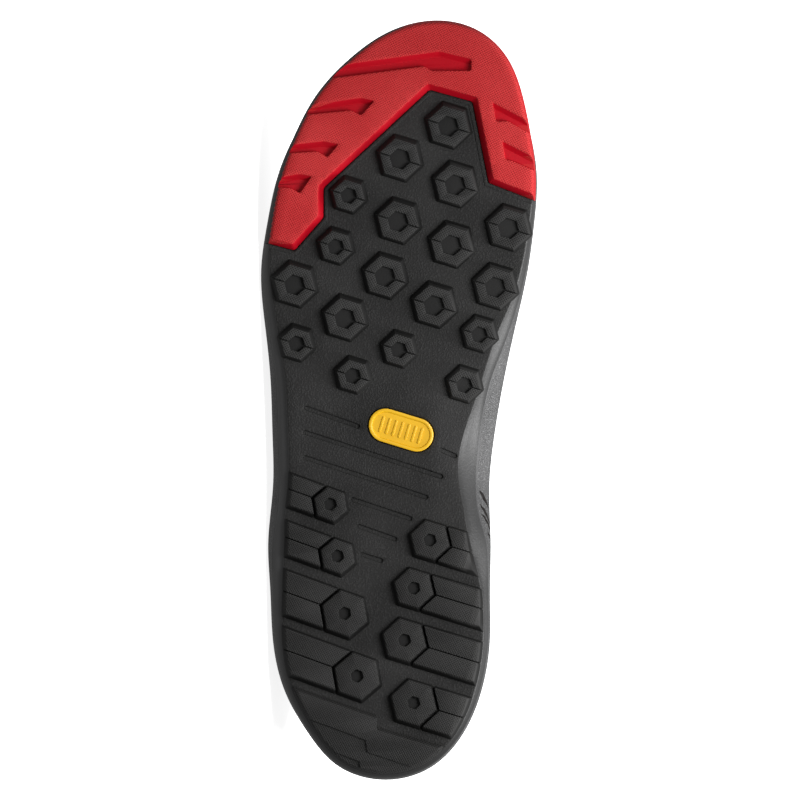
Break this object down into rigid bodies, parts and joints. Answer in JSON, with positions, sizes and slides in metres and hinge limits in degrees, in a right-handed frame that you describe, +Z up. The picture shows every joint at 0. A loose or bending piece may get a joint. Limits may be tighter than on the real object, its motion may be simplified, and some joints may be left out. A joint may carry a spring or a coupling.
{
  "type": "approach shoe",
  "caption": "Low approach shoe for the right foot with a hexagon-lugged sole, a red climbing zone under the toe and laced upper, lying on its lateral side.",
  "frame": {"origin": "middle of the bounding box in plan, on the floor that the shoe lies on", "axes": "+X from the toe to the heel, -Y out of the sole, +Z up from the floor, towards the shoe's medial side"},
  "size_m": [0.2946, 0.113, 0.1072],
  "materials": {
    "black_rubber": "matte moulded rubber",
    "red_rubber": "knurled moulded rubber",
    "yellow_inlay": "smooth inlay",
    "grey_foam": "matte foam",
    "upper_fabric": "woven fabric",
    "overlay_film": "matte moulded film",
    "lining": "soft knitted lining",
    "red_cord": "woven cord",
    "dark_metal": "dark coated metal"
  },
  "bodies": {
    "root": {"climbing_zone": "red_rubber", "collar_pad": "lining", "eyelet_lateral_1": "dark_metal", "eyelet_lateral_2": "dark_metal", "eyelet_lateral_3": "dark_metal", "eyelet_lateral_4": "dark_metal", "eyelet_lateral_5": "dark_metal", "eyelet_lateral_6": "dark_metal", "eyelet_medial_1": "dark_metal", "eyelet_medial_2": "dark_metal", "eyelet_medial_3": "dark_metal", "eyelet_medial_4": "dark_metal", "eyelet_medial_5": "dark_metal", "eyelet_medial_6": "dark_metal", "eyestay": "overlay_film", "heel_counter": "overlay_film", "insole": "lining", "lace": "red_cord", "midsole": "grey_foam", "outsole": "black_rubber", "plaque": "yellow_inlay", "toe_rand": "black_rubber", "tongue": "upper_fabric", "upper": "upper_fabric"}
  },
  "joints": []
}
